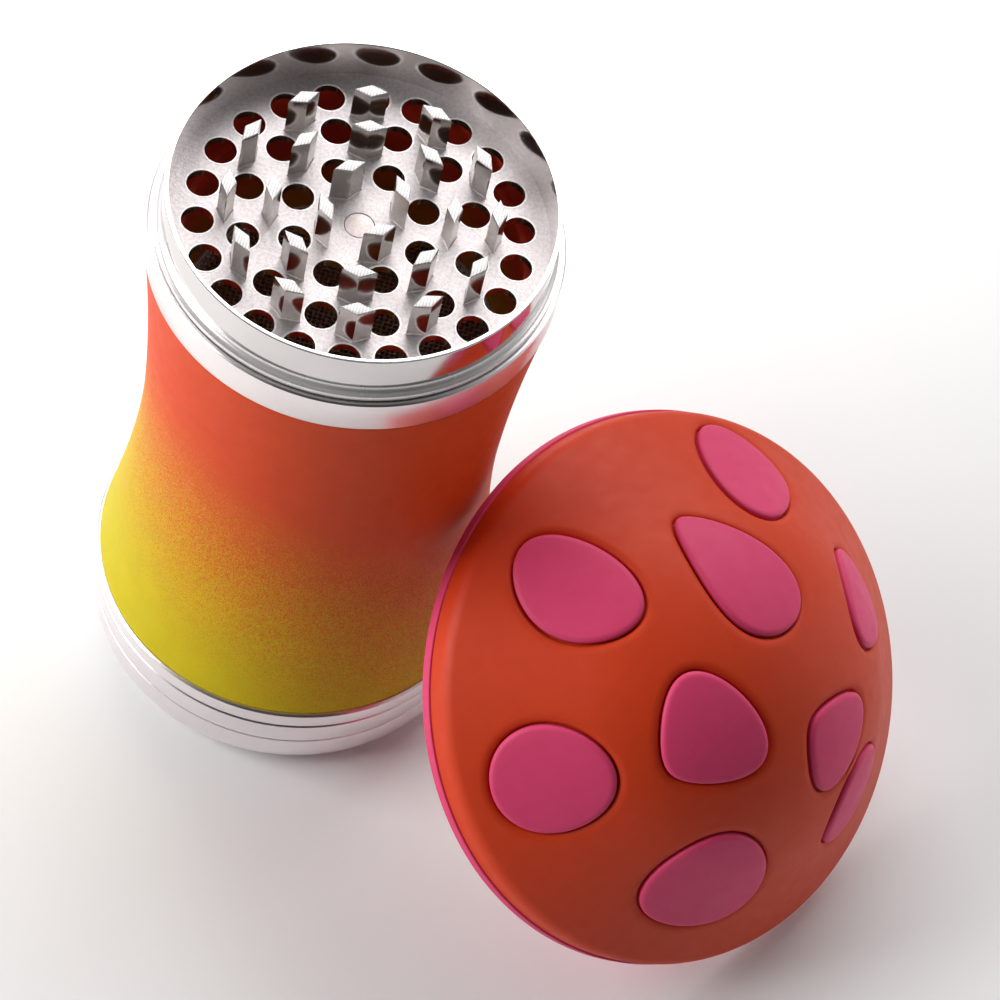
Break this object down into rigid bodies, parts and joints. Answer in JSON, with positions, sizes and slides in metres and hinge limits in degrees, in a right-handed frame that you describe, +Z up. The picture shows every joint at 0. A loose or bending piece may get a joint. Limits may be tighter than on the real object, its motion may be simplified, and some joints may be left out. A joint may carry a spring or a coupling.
{
  "type": "hand grinder",
  "caption": "Mushroom-shaped hand grinder: waisted stem with a holed tooth plate, stepped metal base, and a domed spotted cap leaning beside it.",
  "frame": {"origin": "centre of the base cup's flat foot, on the surface it stands on", "axes": "+Z up along the body's axis; the cap leans on the +X side; -Y is the side the open grinder is looked at from"},
  "size_m": [0.119, 0.0801, 0.098],
  "materials": {
    "satin_metal": "satin",
    "polished_metal": "polished",
    "stem_spray": "matte",
    "cap_orange": "matte",
    "cap_pink": "matte",
    "gasket": "matte",
    "magnet": "satin",
    "screen_wire": "satin",
    "nylon": "satin",
    "screw_steel": "satin"
  },
  "bodies": {
    "base": {"base_cup": "satin_metal"},
    "base_seal": {"lower_gasket": "gasket"},
    "stem": {"lower_collar": "satin_metal", "stem_shell": "stem_spray", "top_collar": "polished_metal", "screen_mesh": "screen_wire", "screen_ring": "satin_metal"},
    "stem_seal": {"upper_gasket": "gasket"},
    "chamber": {"tooth_plate": "polished_metal", "chamber_magnet": "magnet"},
    "cap_bearing": {"friction_ring": "nylon"},
    "cap": {"cap_shell": "cap_orange", "cap_liner": "cap_pink", "lid_plate": "satin_metal", "lid_magnet": "magnet", "lid_screws": "screw_steel", "spot_01": "cap_pink", "spot_02": "cap_pink", "spot_03": "cap_pink", "spot_04": "cap_pink", "spot_05": "cap_pink", "spot_06": "cap_pink", "spot_07": "cap_pink", "spot_08": "cap_pink", "spot_09": "cap_pink"}
  },
  "joints": [
    {"name": "stem_rise", "type": "slide", "parent": "base", "child": "base_seal", "axis": [0, 0, 1], "range_m": [0, 0.009]},
    {"name": "stem_unscrew", "type": "hinge", "parent": "base_seal", "child": "stem", "pos_m": [0, 0, 0.0148], "axis": [0, 0, 1], "range_deg": [0, 1080]},
    {"name": "chamber_rise", "type": "slide", "parent": "stem", "child": "stem_seal", "axis": [0, 0, 1], "range_m": [0, 0.005]},
    {"name": "chamber_unscrew", "type": "hinge", "parent": "stem_seal", "child": "chamber", "pos_m": [0, 0, 0.092], "axis": [0, 0, 1], "range_deg": [0, 900]},
    {"name": "cap_lift", "type": "slide", "parent": "base", "child": "cap_bearing", "axis": [0.5134, -0.3398, 0.788], "range_m": [0, 0.06]},
    {"name": "cap_turn", "type": "hinge", "parent": "cap_bearing", "child": "cap", "pos_m": [0.0546, -0.0136, 0.0244], "axis": [0.5134, -0.3398, 0.788], "continuous": true}
  ],
  "couplings": [
    {"joint": "stem_unscrew", "follows": "stem_rise", "rad_per_m": 2094.4},
    {"joint": "chamber_unscrew", "follows": "chamber_rise", "rad_per_m": 3141.6}
  ]
}
